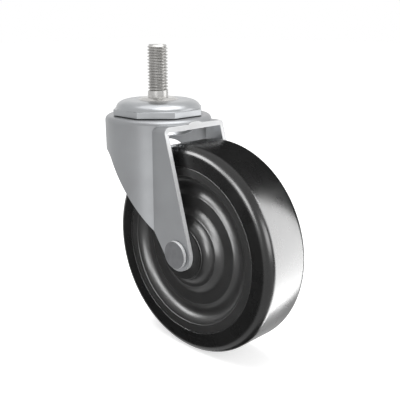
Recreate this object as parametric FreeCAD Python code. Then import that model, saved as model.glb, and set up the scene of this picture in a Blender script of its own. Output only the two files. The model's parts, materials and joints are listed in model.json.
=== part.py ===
# Swivel caster with a threaded stem: pressed steel fork, two rings of balls,
# and a 100 mm wheel on a roller bearing.
#
# Millimetres. The origin is the centre of the seat face, where the stem's collar
# meets the furniture. +Z runs up the stem, +X is the way the wheel trails, and
# the wheel's axle lies along Y.

import FreeCAD
import Part
import math
import os

V = FreeCAD.Vector

# Stem: one turned and riveted pin, M10 above the seat
THREAD_R = 5.0
STEM_LENGTH = 25.0
TIP_CHAMFER_H = 1.5
TIP_CHAMFER_R = 0.95
COLLAR_H = 1.1
COLLAR_TOP_R = 7.7
COLLAR_BASE_R = 9.7
SHANK_R = 7.3
TENON_R = 5.5
PEEN_LIP = 2.7
PEEN_H = 2.0
STAKED_CLEARANCE = 0.05

# Upper cup: pressed dome with an octagonal flange for a wrench
CUP_SHEET = 2.9
DOME_WALL = 2.57
DOME_CURVE = 5.7
DOME_H = 3.9
FLANGE_LEDGE = 0.4
FLANGE_EDGE = 0.35

# Balls and their races, each race as wide as its full ring of balls
BALLS_PER_RING = 20
UPPER_BALL_R = 2.38
UPPER_BALL_GAP = 0.14
LOWER_BALL_R = 1.985
LOWER_BALL_GAP = 0.24
BALL_CLEARANCE = 0.05
SWIVEL_GAP = 0.3

# Lower cup
LOWER_SHEET = 2.0
LOWER_CORNER_R = 2.4

# Fork: one pressing, a round head with two legs
SHEET = 2.5
HEAD_R = 25.95
HEAD_ROUND = 2.3
PIVOT_CLEARANCE = 0.7
REAR_INSET = 0.35
REAR_STEP = 2.1
LEG_BEND_R = 2.8
LIP_DEPTH = 9.8
NOTCH_X = -14.0
NOTCH_ROUND = 2.0
SKIRT_DEPTH = 16.5
SKIRT_FLAT = 5.2
SKIRT_ROUND = 9.3
LEG_END_R = 8.2

# Wheel, with its axle behind the swivel axis and its tread below the seat
TRAIL = 33.0
SEAT_TO_TREAD = 18.0
WHEEL_R = 50.0
TYRE_WIDTH = 26.8
SHOULDER_R = 4.3
TREAD_THICKNESS = 10.1
KEY_DEPTH = 3.0
KEY_WIDTH = 12.0
KEY_TAPER = 1.0
RIM_WIDTH = 26.2
RIM_THICKNESS = 4.2
DISC_WIDTH = 20.2
GROOVE_DEPTH = 2.6
HUB_WALL = 2.17
HUB_LENGTH = 32.2
HUB_CREASE_WIDTH = 24.4
CREASE_PULL = 2.0

# Where the crease and the disc's two edges lie, on the way from the hub to the rim
CREASE_PART = 0.211
DISC_INNER_PART = 0.39
DISC_OUTER_PART = 0.608

# Axle and roller bearing
RIVET_R = 4.0
RIVET_HEAD_R = 6.5
RIVET_HEAD_H = 2.1
RIVET_HEAD_EDGE = 0.35
RIVET_CLEARANCE = 0.1
SLEEVE_R = 6.0
WASHER_T = 0.5
WASHER_INSET = 0.35
WASHER_CLEARANCE = 0.15
HUB_PLAY = 0.25
ROLLER_R = 2.25
ROLLER_LENGTH = 25.0
ROLLER_EDGE = 0.3
ROLLERS = 8
BEARING_CLEARANCE = 0.04
CAGE_LENGTH = 31.0
CAGE_MARGIN = 0.35
POCKET_CLEARANCE = 0.15

# Radii, heights and places that follow from the sizes above
PEEN_R = TENON_R + PEEN_LIP
PIVOT_HOLE_R = SHANK_R + PIVOT_CLEARANCE
UPPER_RACE_R = BALLS_PER_RING * (2 * UPPER_BALL_R + UPPER_BALL_GAP) / (2 * math.pi)
LOWER_RACE_R = BALLS_PER_RING * (2 * LOWER_BALL_R + LOWER_BALL_GAP) / (2 * math.pi)
RACE_STEP = UPPER_RACE_R - LOWER_RACE_R
REAR_X = HEAD_R - REAR_INSET
FLANGE_TOP_Z = -COLLAR_H - DOME_H
FLANGE_Z = FLANGE_TOP_Z - CUP_SHEET
PLATFORM_Z = FLANGE_Z - SWIVEL_GAP
DOME_UNDER_Z = -COLLAR_H - CUP_SHEET
UPPER_GROOVE_R = UPPER_BALL_R + BALL_CLEARANCE
DOME_BASE_R = UPPER_RACE_R + UPPER_GROOVE_R + DOME_WALL
DOME_TOP_R = DOME_BASE_R - DOME_CURVE
CUP_ACROSS_FLATS = 2 * (DOME_BASE_R + FLANGE_LEDGE)
UPPER_BALL_Z = DOME_UNDER_Z - UPPER_GROOVE_R
RIB_R = UPPER_GROOVE_R + SHEET
BALL_REACH = RIB_R + BALL_CLEARANCE + LOWER_BALL_R
LOWER_BALL_Z = UPPER_BALL_Z - math.sqrt(BALL_REACH ** 2 - RACE_STEP ** 2)
LOWER_GROOVE_R = LOWER_BALL_R + BALL_CLEARANCE
LOWER_FLOOR_Z = LOWER_BALL_Z - LOWER_GROOVE_R
LOWER_CUP_Z = LOWER_FLOOR_Z - LOWER_SHEET
LOWER_RIM_Z = UPPER_BALL_Z - RIB_R - SWIVEL_GAP
PLATE_Z = PLATFORM_Z - REAR_STEP
LEG_INNER_Y = HUB_LENGTH / 2 + HUB_PLAY + WASHER_T
LEG_OUTER_Y = LEG_INNER_Y + SHEET
BORE_R = SLEEVE_R + 2 * ROLLER_R + 2 * BEARING_CLEARANCE
ROLLER_RING_R = SLEEVE_R + BEARING_CLEARANCE + ROLLER_R
HUB_R = BORE_R + HUB_WALL
WASHER_R = HUB_R - WASHER_INSET
TREAD_SEAT_R = WHEEL_R - TREAD_THICKNESS
RIM_INNER_R = TREAD_SEAT_R - RIM_THICKNESS
HUB_CREASE_R = HUB_R + CREASE_PART * (RIM_INNER_R - HUB_R)
DISC_INNER_R = HUB_R + DISC_INNER_PART * (RIM_INNER_R - HUB_R)
DISC_OUTER_R = HUB_R + DISC_OUTER_PART * (RIM_INNER_R - HUB_R)
SEAT_TO_AXLE = SEAT_TO_TREAD + WHEEL_R
AXLE = V(TRAIL, 0, -SEAT_TO_AXLE)


def outline(start, *steps):
    """Closed face in the XZ plane. A step is an end point for a line, a middle and
    an end for an arc, or ("round", corner, end) for a smooth quarter turn."""
    here = V(start[0], 0, start[1])
    first = here
    edges = []
    for step in steps:
        if step[0] == "round":
            corner = V(step[1][0], 0, step[1][1])
            end = V(step[2][0], 0, step[2][1])
            edges.append(quarter_turn(here, corner, end))
        elif isinstance(step[0], tuple):
            middle = V(step[0][0], 0, step[0][1])
            end = V(step[1][0], 0, step[1][1])
            edges.append(Part.Arc(here, middle, end).toShape())
        else:
            end = V(step[0], 0, step[1])
            edges.append(Part.LineSegment(here, end).toShape())
        here = end
    if here.distanceToPoint(first) > 1e-6:
        edges.append(Part.LineSegment(here, first).toShape())
    return Part.Face(Part.Wire(edges))


def quarter_turn(start, corner, end):
    """Curve that leaves start towards corner and arrives at end from corner, as a
    quarter of an ellipse does."""
    pull = 0.5523
    curve = Part.BezierCurve()
    curve.setPoles([start, start + (corner - start) * pull, end + (corner - end) * pull, end])
    return curve.toShape()


def turned(start, *steps):
    """Solid of revolution about Z of an outline given as (radius, height)."""
    return outline(start, *steps).revolve(V(0, 0, 0), V(0, 0, 1), 360)


def tube(outer_r, inner_r, low_z, high_z):
    """Plain round tube about Z."""
    return turned((inner_r, low_z), (outer_r, low_z), (outer_r, high_z), (inner_r, high_z))


def on_axle(shape):
    """Lays a shape that was turned about Z along the wheel's axle."""
    laid = shape.copy()
    laid.rotate(V(0, 0, 0), V(1, 0, 0), 90)
    laid.translate(AXLE)
    return laid


def both_sides(half):
    """A turned half, its cut face at height 0, joined to its mirror image."""
    whole = half.fuse(half.mirror(V(0, 0, 0), V(0, 0, 1)))
    return whole.removeSplitter().Solids[0]


def ball_ring(radius, height, ball_r):
    """Balls evenly round a race, each a solid of its own."""
    balls = []
    for index in range(BALLS_PER_RING):
        angle = 2 * math.pi * index / BALLS_PER_RING
        centre = V(radius * math.cos(angle), radius * math.sin(angle), height)
        balls.append(Part.makeSphere(ball_r, centre))
    return balls


def threaded_stem():
    """Stem, collar, pivot pin and riveted end, turned from one bar."""
    tip_z = STEM_LENGTH
    return turned(
        (0, tip_z),
        (THREAD_R - TIP_CHAMFER_R, tip_z),
        (THREAD_R, tip_z - TIP_CHAMFER_H),
        (THREAD_R, 0),
        (COLLAR_TOP_R, 0),
        (COLLAR_BASE_R, -COLLAR_H),
        (SHANK_R, -COLLAR_H),
        (SHANK_R, LOWER_FLOOR_Z),
        (TENON_R, LOWER_FLOOR_Z),
        (TENON_R, LOWER_CUP_Z),
        (PEEN_R, LOWER_CUP_Z),
        ("round", (PEEN_R, LOWER_CUP_Z - PEEN_H), (0, LOWER_CUP_Z - PEEN_H)),
    )


def upper_cup():
    """Pressed dome over the upper race, with eight wrench flats on its flange."""
    corner_r = CUP_ACROSS_FLATS / 2 / math.cos(math.pi / 8)
    corners = []
    for index in range(9):
        angle = math.pi / 8 + index * math.pi / 4
        corners.append(V(corner_r * math.cos(angle), corner_r * math.sin(angle), FLANGE_Z))
    flange = Part.Face(Part.makePolygon(corners)).extrude(V(0, 0, CUP_SHEET))
    trim = turned(
        (0, FLANGE_Z),
        (corner_r - FLANGE_EDGE, FLANGE_Z),
        (corner_r, FLANGE_Z + FLANGE_EDGE),
        (corner_r, FLANGE_TOP_Z - FLANGE_EDGE),
        (corner_r - FLANGE_EDGE, FLANGE_TOP_Z),
        (0, FLANGE_TOP_Z),
    )
    dome = turned(
        (0, FLANGE_Z),
        (DOME_BASE_R, FLANGE_Z),
        (DOME_BASE_R, FLANGE_TOP_Z),
        ("round", (DOME_BASE_R, -COLLAR_H), (DOME_TOP_R, -COLLAR_H)),
        (0, -COLLAR_H),
    )
    race_edge = UPPER_RACE_R + UPPER_GROOVE_R
    hollow = turned(
        (0, FLANGE_Z),
        (race_edge, FLANGE_Z),
        (race_edge, UPPER_BALL_Z),
        ("round", (race_edge, DOME_UNDER_Z), (UPPER_RACE_R, DOME_UNDER_Z)),
        (0, DOME_UNDER_Z),
    )
    bore = Part.makeCylinder(SHANK_R + STAKED_CLEARANCE, DOME_H + CUP_SHEET, V(0, 0, FLANGE_Z))
    return flange.common(trim).fuse(dome).cut(hollow).cut(bore).removeSplitter().Solids[0]


def lower_cup():
    """Drawn cup that holds the lower balls against the underside of the fork."""
    wall_r = LOWER_RACE_R + LOWER_GROOVE_R
    outer_r = wall_r + LOWER_SHEET
    bore_r = TENON_R + STAKED_CLEARANCE
    return turned(
        (bore_r, LOWER_CUP_Z),
        (outer_r - LOWER_CORNER_R, LOWER_CUP_Z),
        ("round", (outer_r, LOWER_CUP_Z), (outer_r, LOWER_CUP_Z + LOWER_CORNER_R)),
        (outer_r, LOWER_RIM_Z),
        (wall_r, LOWER_RIM_Z),
        (wall_r, LOWER_BALL_Z),
        ("round", (wall_r, LOWER_FLOOR_Z), (LOWER_RACE_R, LOWER_FLOOR_Z)),
        (bore_r, LOWER_FLOOR_Z),
    )


def head_and_legs(inset):
    """Solid inside the fork's skin: inset 0 is the outside of the sheet, and the
    sheet's thickness is the inside."""
    top_z = PLATFORM_Z - inset
    plate_z = PLATE_Z - inset
    low_z = -SEAT_TO_AXLE - 2 * LEG_END_R
    head_r = HEAD_R - inset
    head = Part.makeCylinder(head_r, top_z - low_z, V(0, 0, low_z))
    head_round = HEAD_ROUND - inset
    if head_round > 0:
        rim = [edge for edge in head.Edges if abs(edge.BoundBox.ZMin - top_z) < 1e-6]
        head = head.makeFillet(head_round, rim[:1])
    half = LEG_OUTER_Y - inset
    far_x = TRAIL + 2 * LEG_END_R
    legs = Part.makeBox(far_x, 2 * half, plate_z - low_z, V(0, -half, low_z))
    bends = []
    for edge in legs.Edges:
        box = edge.BoundBox
        if box.XLength > far_x / 2 and abs(box.ZMin - plate_z) < 1e-6:
            bends.append(edge)
    legs = legs.makeFillet(max(LEG_BEND_R - inset, LEG_BEND_R / 10), bends)
    return head.fuse(legs)


def tangent_angle(point, centre, radius, side):
    """Direction of the line from a point that touches a circle, in the XZ plane."""
    dx = centre[0] - point[0]
    dz = centre[1] - point[1]
    return math.atan2(dz, dx) + side * math.asin(radius / math.hypot(dx, dz))


def leg_end(angle):
    """Point on the rounded end of the legs, round the axle."""
    return (TRAIL + LEG_END_R * math.cos(angle), -SEAT_TO_AXLE + LEG_END_R * math.sin(angle))


def rounded(prism, corner, radius):
    """Prism along Y with the edge at one corner of its outline rounded."""
    edges = []
    for edge in prism.Edges:
        box = edge.BoundBox
        off = math.hypot(box.Center.x - corner[0], box.Center.z - corner[1])
        if box.YLength > HEAD_R and off < 1e-4:
            edges.append(edge)
    return prism.makeFillet(radius, edges)


def side_profile():
    """Shape of the fork seen from the side, as a prism that cuts both legs at once:
    a high lip in front, a short skirt, and legs that taper to the axle."""
    lip_z = PLATFORM_Z - LIP_DEPTH
    skirt_z = PLATFORM_Z - SKIRT_DEPTH
    slope = (NOTCH_X + SKIRT_FLAT, skirt_z)
    rear = (REAR_X, PLATE_Z - SHEET)
    axle = (TRAIL, -SEAT_TO_AXLE)
    fall = tangent_angle(slope, axle, LEG_END_R, -1)
    front_angle = fall - math.pi / 2
    rear_angle = tangent_angle(rear, axle, LEG_END_R, 1) + math.pi / 2
    face = outline(
        (-2 * HEAD_R, 0),
        (-2 * HEAD_R, lip_z),
        (NOTCH_X, lip_z),
        (NOTCH_X, skirt_z),
        slope,
        leg_end(front_angle),
        (leg_end((front_angle + rear_angle) / 2), leg_end(rear_angle)),
        rear,
        (REAR_X, 0),
    )
    face.translate(V(0, -2 * HEAD_R, 0))
    prism = face.extrude(V(0, 4 * HEAD_R, 0))
    widest_round = 0.95 * SKIRT_FLAT / math.tan(abs(fall) / 2)
    prism = rounded(prism, slope, min(SKIRT_ROUND, widest_round))
    return rounded(prism, (NOTCH_X, lip_z), min(NOTCH_ROUND, (SKIRT_DEPTH - LIP_DEPTH) / 2))


def race_rib():
    """Ring that the upper raceway pushes out of the platform's underside."""
    under_z = PLATFORM_Z - SHEET
    half = math.sqrt(RIB_R ** 2 - (UPPER_BALL_Z - under_z) ** 2)
    return turned(
        (UPPER_RACE_R - half, PLATFORM_Z - SHEET / 2),
        (UPPER_RACE_R - half, under_z),
        ((UPPER_RACE_R, UPPER_BALL_Z - RIB_R), (UPPER_RACE_R + half, under_z)),
        (UPPER_RACE_R + half, PLATFORM_Z - SHEET / 2),
    )


def fork():
    """Pressed fork: skin, raceway, pivot hole and axle holes."""
    skin = head_and_legs(0).cut(head_and_legs(SHEET)).common(side_profile())
    race = Part.makeTorus(UPPER_RACE_R, UPPER_GROOVE_R, V(0, 0, UPPER_BALL_Z))
    pivot = Part.makeCylinder(PIVOT_HOLE_R, 2 * SHEET, V(0, 0, PLATFORM_Z - 1.5 * SHEET))
    axle_hole = Part.makeCylinder(
        RIVET_R + RIVET_CLEARANCE, 2 * HEAD_R, V(TRAIL, -HEAD_R, -SEAT_TO_AXLE), V(0, 1, 0)
    )
    return skin.fuse(race_rib()).cut(race).cut(pivot).cut(axle_hole).removeSplitter().Solids[0]


def tyre():
    """Solid rubber tread, keyed into the channel round the wheel centre."""
    half = TYRE_WIDTH / 2
    return on_axle(both_sides(turned(
        (TREAD_SEAT_R - KEY_DEPTH, 0),
        (WHEEL_R, 0),
        (WHEEL_R, half - SHOULDER_R),
        ("round", (WHEEL_R, half), (WHEEL_R - SHOULDER_R, half)),
        (TREAD_SEAT_R, half),
        (TREAD_SEAT_R, KEY_WIDTH / 2),
        (TREAD_SEAT_R - KEY_DEPTH, KEY_WIDTH / 2 - KEY_TAPER),
    )))


def wheel_centre():
    """Moulded wheel centre: rim, grooved disc and hub with its bore."""
    rim = (RIM_INNER_R, RIM_WIDTH / 2)
    disc = (DISC_OUTER_R, DISC_WIDTH / 2)
    chord = math.hypot(rim[0] - disc[0], rim[1] - disc[1])
    groove = (
        (rim[0] + disc[0]) / 2 + GROOVE_DEPTH * (rim[1] - disc[1]) / chord,
        (rim[1] + disc[1]) / 2 - GROOVE_DEPTH * (rim[0] - disc[0]) / chord,
    )
    crease = (HUB_CREASE_R, HUB_CREASE_WIDTH / 2)
    foot = (DISC_INNER_R, DISC_WIDTH / 2)
    return on_axle(both_sides(turned(
        (BORE_R, 0),
        (TREAD_SEAT_R - KEY_DEPTH, 0),
        (TREAD_SEAT_R - KEY_DEPTH, KEY_WIDTH / 2 - KEY_TAPER),
        (TREAD_SEAT_R, KEY_WIDTH / 2),
        (TREAD_SEAT_R, rim[1]),
        rim,
        (groove, disc),
        foot,
        ("round", (crease[0] + CREASE_PULL, foot[1]), crease),
        ("round", (HUB_R, crease[1]), (HUB_R, HUB_LENGTH / 2)),
        (BORE_R, HUB_LENGTH / 2),
    )))


def axle_rivet():
    """Plain axle with a flat head outside each leg."""
    half = LEG_OUTER_Y
    top = half + RIVET_HEAD_H
    return on_axle(both_sides(turned(
        (0, 0),
        (RIVET_R, 0),
        (RIVET_R, half),
        (RIVET_HEAD_R, half),
        (RIVET_HEAD_R, top - RIVET_HEAD_EDGE),
        (RIVET_HEAD_R - RIVET_HEAD_EDGE, top),
        (0, top),
    )))


def axle_sleeve():
    """Hardened tube that the legs clamp and the rollers run on."""
    return on_axle(tube(SLEEVE_R, RIVET_R + RIVET_CLEARANCE, -LEG_INNER_Y, LEG_INNER_Y))


def thrust_washer(side):
    """Plastic washer between the hub and one leg. Laid on the axle, side 1 is at -Y,
    which is on the left of someone who follows the caster as it rolls."""
    middle = side * (LEG_INNER_Y - WASHER_T / 2)
    ring = tube(WASHER_R, SLEEVE_R + WASHER_CLEARANCE, middle - WASHER_T / 2, middle + WASHER_T / 2)
    return on_axle(ring)


def rollers():
    """Bearing rollers, each a solid of its own, evenly round the sleeve."""
    half = ROLLER_LENGTH / 2
    shapes = []
    for index in range(ROLLERS):
        angle = 2 * math.pi * (index + 0.5) / ROLLERS
        roller = both_sides(turned(
            (0, 0),
            (ROLLER_R, 0),
            (ROLLER_R, half - ROLLER_EDGE),
            (ROLLER_R - ROLLER_EDGE, half),
            (0, half),
        ))
        roller.translate(V(ROLLER_RING_R * math.cos(angle), ROLLER_RING_R * math.sin(angle), 0))
        shapes.append(on_axle(roller))
    return shapes


def roller_cage():
    """Moulded cage with a pocket for each roller."""
    half = CAGE_LENGTH / 2
    cage = tube(BORE_R - CAGE_MARGIN, SLEEVE_R + CAGE_MARGIN, -half, half)
    pocket_half = ROLLER_LENGTH / 2 + POCKET_CLEARANCE
    for index in range(ROLLERS):
        angle = 2 * math.pi * (index + 0.5) / ROLLERS
        foot = V(ROLLER_RING_R * math.cos(angle), ROLLER_RING_R * math.sin(angle), -pocket_half)
        cage = cage.cut(Part.makeCylinder(ROLLER_R + POCKET_CLEARANCE, 2 * pocket_half, foot))
    return on_axle(cage.Solids[0])


def caster():
    """Every piece of the caster by name, each one solid."""
    pieces = {
        "threaded_stem": threaded_stem(),
        "upper_cup": upper_cup(),
        "lower_cup": lower_cup(),
        "fork": fork(),
        "axle_rivet": axle_rivet(),
        "axle_sleeve": axle_sleeve(),
        "left_washer": thrust_washer(1),
        "right_washer": thrust_washer(-1),
        "tyre": tyre(),
        "wheel_centre": wheel_centre(),
        "roller_cage": roller_cage(),
    }
    for number, roller in enumerate(rollers(), start=1):
        pieces[f"roller_{number}"] = roller
    upper_balls = ball_ring(UPPER_RACE_R, UPPER_BALL_Z, UPPER_BALL_R)
    for number, ball in enumerate(upper_balls, start=1):
        pieces[f"upper_ball_{number:02d}"] = ball
    lower_balls = ball_ring(LOWER_RACE_R, LOWER_BALL_Z, LOWER_BALL_R)
    for number, ball in enumerate(lower_balls, start=1):
        pieces[f"lower_ball_{number:02d}"] = ball
    return pieces


os.makedirs("parts", exist_ok=True)
for name, shape in caster().items():
    shape.exportStep(f"parts/{name}.step")
    box = shape.BoundBox
    print(f"{name}: {shape.Volume:.1f} mm3, valid {shape.isValid()}, "
          f"x {box.XMin:.2f} to {box.XMax:.2f}, y {box.YMin:.2f} to {box.YMax:.2f}, "
          f"z {box.ZMin:.2f} to {box.ZMax:.2f}")
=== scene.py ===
# %% [markdown]
# # A swivel caster with a threaded stem
#
# A pressed steel fork turns under a domed cup, on two rings of balls, and trails a
# wheel with a black tyre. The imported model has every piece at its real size, in
# metres, with the origin at the seat face and +Z up the stem. This file dresses it:
# the pieces that show are modelled again with a real thread, rolled edges and soft
# moulded corners, and every piece gets the surface that its maker gave it.

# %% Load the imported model
import json
import math

import bmesh
import bpy
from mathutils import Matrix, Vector

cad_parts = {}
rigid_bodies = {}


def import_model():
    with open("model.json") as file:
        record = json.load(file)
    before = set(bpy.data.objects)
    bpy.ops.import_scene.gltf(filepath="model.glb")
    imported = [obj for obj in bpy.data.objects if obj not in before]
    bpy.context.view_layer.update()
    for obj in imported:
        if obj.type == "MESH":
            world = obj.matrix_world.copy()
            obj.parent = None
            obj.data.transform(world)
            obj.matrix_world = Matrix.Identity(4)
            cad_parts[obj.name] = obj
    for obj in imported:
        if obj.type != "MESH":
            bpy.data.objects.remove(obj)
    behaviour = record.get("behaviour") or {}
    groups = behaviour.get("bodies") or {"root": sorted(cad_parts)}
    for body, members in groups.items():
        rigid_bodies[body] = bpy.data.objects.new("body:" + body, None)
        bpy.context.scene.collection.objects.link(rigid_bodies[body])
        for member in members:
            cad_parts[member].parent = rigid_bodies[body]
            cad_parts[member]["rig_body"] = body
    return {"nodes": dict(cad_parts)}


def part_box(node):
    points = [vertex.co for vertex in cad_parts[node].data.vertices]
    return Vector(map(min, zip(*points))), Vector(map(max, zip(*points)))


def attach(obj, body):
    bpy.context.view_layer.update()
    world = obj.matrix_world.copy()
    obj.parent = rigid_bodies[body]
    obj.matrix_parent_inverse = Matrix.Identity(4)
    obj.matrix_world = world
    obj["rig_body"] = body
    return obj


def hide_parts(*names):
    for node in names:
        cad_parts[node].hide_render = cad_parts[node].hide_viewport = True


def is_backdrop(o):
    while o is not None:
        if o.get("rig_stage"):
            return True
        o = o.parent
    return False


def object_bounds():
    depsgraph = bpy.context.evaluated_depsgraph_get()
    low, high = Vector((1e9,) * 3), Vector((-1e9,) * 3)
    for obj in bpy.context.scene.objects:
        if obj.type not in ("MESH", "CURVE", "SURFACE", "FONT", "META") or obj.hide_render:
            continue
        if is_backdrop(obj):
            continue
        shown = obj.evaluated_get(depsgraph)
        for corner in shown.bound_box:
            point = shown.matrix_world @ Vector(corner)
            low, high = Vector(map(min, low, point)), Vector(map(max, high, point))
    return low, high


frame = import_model()
cad_low, cad_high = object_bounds()
MM = 0.001
print("box in mm:", [round(size / MM, 2) for size in cad_high - cad_low])

# %% [markdown]
# The sizes that the frame can tell are read from it, so the dressed pieces stay on
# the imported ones. A piece's box gives its radius, its ends or its centre.

# %% Read places and sizes from the frame
stem_low, stem_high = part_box("threaded_stem")
cup_low, cup_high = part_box("upper_cup")
lower_cup_low, lower_cup_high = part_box("lower_cup")
tyre_low, tyre_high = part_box("tyre")
fork_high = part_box("fork")[1]
centre_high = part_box("wheel_centre")[1]
rivet_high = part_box("axle_rivet")[1]
axle = (tyre_low + tyre_high) / 2
seat = Vector((0, 0, 0))
UP = Vector((0, 0, 1))
ALONG_AXLE = Vector((0, 1, 0))
print("axle in mm:", [round(place / MM, 2) for place in axle])

# %% [markdown]
# ## Tools for modelling
#
# Most of a caster is turned or pressed round an axis. A turned piece is drawn as it
# would be on a lathe: one vertex is extruded from point to point along the profile,
# and the profile is spun. An operator acts on all that is selected, so each helper
# starts by deselecting everything.

# %% Start a piece from one vertex
def start_at(name, place):
    """A new object in edit mode that holds one selected vertex at a place."""
    bpy.ops.object.select_all(action="DESELECT")
    bpy.ops.mesh.primitive_plane_add(size=MM)
    piece = bpy.context.object
    piece.name = name
    bpy.ops.object.mode_set(mode="EDIT")
    bpy.ops.mesh.select_mode(type="VERT")
    bpy.ops.mesh.merge(type="CENTER")
    bpy.ops.transform.translate(value=place)
    return piece


def draw_through(places):
    """Extrudes the selected vertex from the first place to each of the others."""
    for here, there in zip(places, places[1:]):
        bpy.ops.mesh.extrude_vertices_move(TRANSFORM_OT_translate={"value": there - here})


# %% Spin a profile
WELD = 0.001 * MM  # points closer than this are one


def turned(name, profile, axis=UP, centre=seat, steps=192):
    """Spins a profile of (radius, height along the axis) round the axis."""
    outward = Vector((1, 0, 0))
    places = [centre + outward * radius + axis * height for radius, height in profile]
    piece = start_at(name, places[0])
    draw_through(places)
    bpy.ops.mesh.select_all(action="SELECT")
    bpy.ops.mesh.spin(steps=steps, angle=math.tau, center=centre, axis=axis)
    bpy.ops.mesh.select_all(action="SELECT")
    bpy.ops.mesh.remove_doubles(threshold=WELD)
    bpy.ops.mesh.normals_make_consistent(inside=False)
    bpy.ops.object.mode_set(mode="OBJECT")
    print(name, "spun:", len(piece.data.polygons), "faces")
    return piece


# %% [markdown]
# A pressed or moulded profile has few straight corners. One small function gives a
# quarter turn that leaves one side and arrives along the other. Another gives the true
# arc that rounds the corner between two straight sides, which a spoke draws as it swings
# round a hub.

# %% Curves for profiles
ELLIPSE_PULL = 0.5523  # how far a curve's handles reach towards the corner


def quarter_turn(start, corner, end, steps=12):
    """Points after the start of a curve that leaves towards the corner, like a quarter
    of an ellipse."""
    first, last = Vector(start), Vector(end)
    out = first.lerp(Vector(corner), ELLIPSE_PULL)
    back = last.lerp(Vector(corner), ELLIPSE_PULL)
    points = []
    for step in range(1, steps + 1):
        t = step / steps
        s = 1 - t
        points.append(first * s**3 + out * 3 * s * s * t + back * 3 * s * t * t + last * t**3)
    return [tuple(point) for point in points]


def swing(hub, start, end, steps):
    """Points of the arc that a spoke draws as it turns round a hub from start to end."""
    sweep = start.angle(end)
    points = []
    for step in range(steps + 1):
        t = step / steps
        spoke = start * math.sin((1 - t) * sweep) + end * math.sin(t * sweep)
        points.append(tuple(hub + spoke / math.sin(sweep)))
    return points


def rounded_corner(before, corner, after, radius, steps=10):
    """Points of the arc that rounds a corner between two straight sides."""
    middle = Vector(corner)
    one = (Vector(before) - middle).normalized()
    other = (Vector(after) - middle).normalized()
    half = one.angle(other) / 2
    hub = middle + (one + other).normalized() * radius / math.sin(half)
    start = middle + one * radius / math.tan(half) - hub
    end = middle + other * radius / math.tan(half) - hub
    return swing(hub, start, end, steps)


# %% [markdown]
# Pieces are joined and cut by Boolean modifiers, and their sharp edges are broken by a
# Bevel modifier, as a press tool or a deburring barrel leaves them. Weighted normals
# then keep the big faces flat up to the small round of each edge.

# %% Modifiers, applied at once
def select_only(piece):
    """Makes one piece the only one that an operator acts on."""
    bpy.ops.object.select_all(action="DESELECT")
    bpy.context.view_layer.objects.active = piece
    piece.select_set(True)


def apply_modifier(piece, modifier):
    """Makes what a modifier shows the piece's own mesh."""
    select_only(piece)
    bpy.ops.object.modifier_apply(modifier=modifier.name)


def combine(piece, tool, operation):
    """Joins a tool to a piece, cuts it out, or keeps what both share."""
    modifier = piece.modifiers.new("combine", "BOOLEAN")
    modifier.operation = operation
    modifier.solver = "EXACT"
    modifier.object = tool
    apply_modifier(piece, modifier)
    bpy.data.objects.remove(tool)
    return piece


def break_edges(piece, width, steps=3, sharper_than=35):
    """Rounds each edge that turns more than an angle in degrees."""
    modifier = piece.modifiers.new("edges", "BEVEL")
    modifier.width = width
    modifier.segments = steps
    modifier.limit_method = "ANGLE"
    modifier.angle_limit = math.radians(sharper_than)
    modifier.use_clamp_overlap = False
    apply_modifier(piece, modifier)


def smooth(piece, sharp_from=40):
    """Smooth shading that leaves flat faces flat, and edges sharp from an angle on."""
    select_only(piece)
    bpy.ops.object.shade_smooth_by_angle(angle=math.radians(sharp_from))
    modifier = piece.modifiers.new("normals", "WEIGHTED_NORMAL")
    modifier.keep_sharp = True
    apply_modifier(piece, modifier)
    print(piece.name, "done:", len(piece.data.polygons), "faces")


# %% Select edges by place
def select_edges(piece, test):
    """In edit mode, selects the edges whose ends both pass a test."""
    bpy.ops.mesh.select_mode(type="EDGE")
    bpy.ops.mesh.select_all(action="DESELECT")
    mesh = bmesh.from_edit_mesh(piece.data)
    for edge in mesh.edges:
        if all(test(vertex.co) for vertex in edge.verts):
            edge.select_set(True)
    mesh.select_flush_mode()
    bmesh.update_edit_mesh(piece.data)


# %% [markdown]
# ## The stem
#
# The stem, its cone-sided collar and the pivot pin under it are one turned piece, and
# its lower end is riveted over under the lower cup. The thread is M10, with a pitch of
# 1.5 mm, and its lowest turn runs out above the collar. It could be a bump, but its
# edge against the light would then be straight, so it is cut: a V-shaped cutter follows
# the Screw modifier up the stem, and a Boolean takes it out.

# %% Turn the blank
THREAD_R = 5.0 * MM
TIP_CHAMFER_H = 1.5 * MM
TIP_CHAMFER_R = 0.95 * MM
COLLAR_TOP_R = 7.7 * MM
SHANK_R = 7.3 * MM
TENON_R = 5.5 * MM
PEEN_R = 8.2 * MM
LOWER_SHEET = 2.0 * MM
collar_base_r = stem_high.y
collar_low_z = cup_high.z
tip_z = stem_high.z
race_floor_z = lower_cup_low.z + LOWER_SHEET
blank_profile = [
    (0, tip_z),
    (THREAD_R - TIP_CHAMFER_R, tip_z),
    (THREAD_R, tip_z - TIP_CHAMFER_H),
    (THREAD_R, 0),
    (COLLAR_TOP_R, 0),
    (collar_base_r, collar_low_z),
    (SHANK_R, collar_low_z),
    (SHANK_R, race_floor_z),
    (TENON_R, race_floor_z),
    (TENON_R, lower_cup_low.z),
    (PEEN_R, lower_cup_low.z),
    *quarter_turn((PEEN_R, lower_cup_low.z), (PEEN_R, stem_low.z), (0, stem_low.z)),
]
stem = turned("stem", blank_profile)
break_edges(stem, 0.15 * MM, steps=2, sharper_than=25)

# %% [markdown]
# The cutter's section is the gap between two turns of the thread: a flat root, and two
# flanks that open by 30 degrees each. It reaches a little past the thread's crest, so
# that no face of it lies on the blank. A Screw modifier winds it up the stem, one pitch
# a turn, and past the tip.

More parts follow.
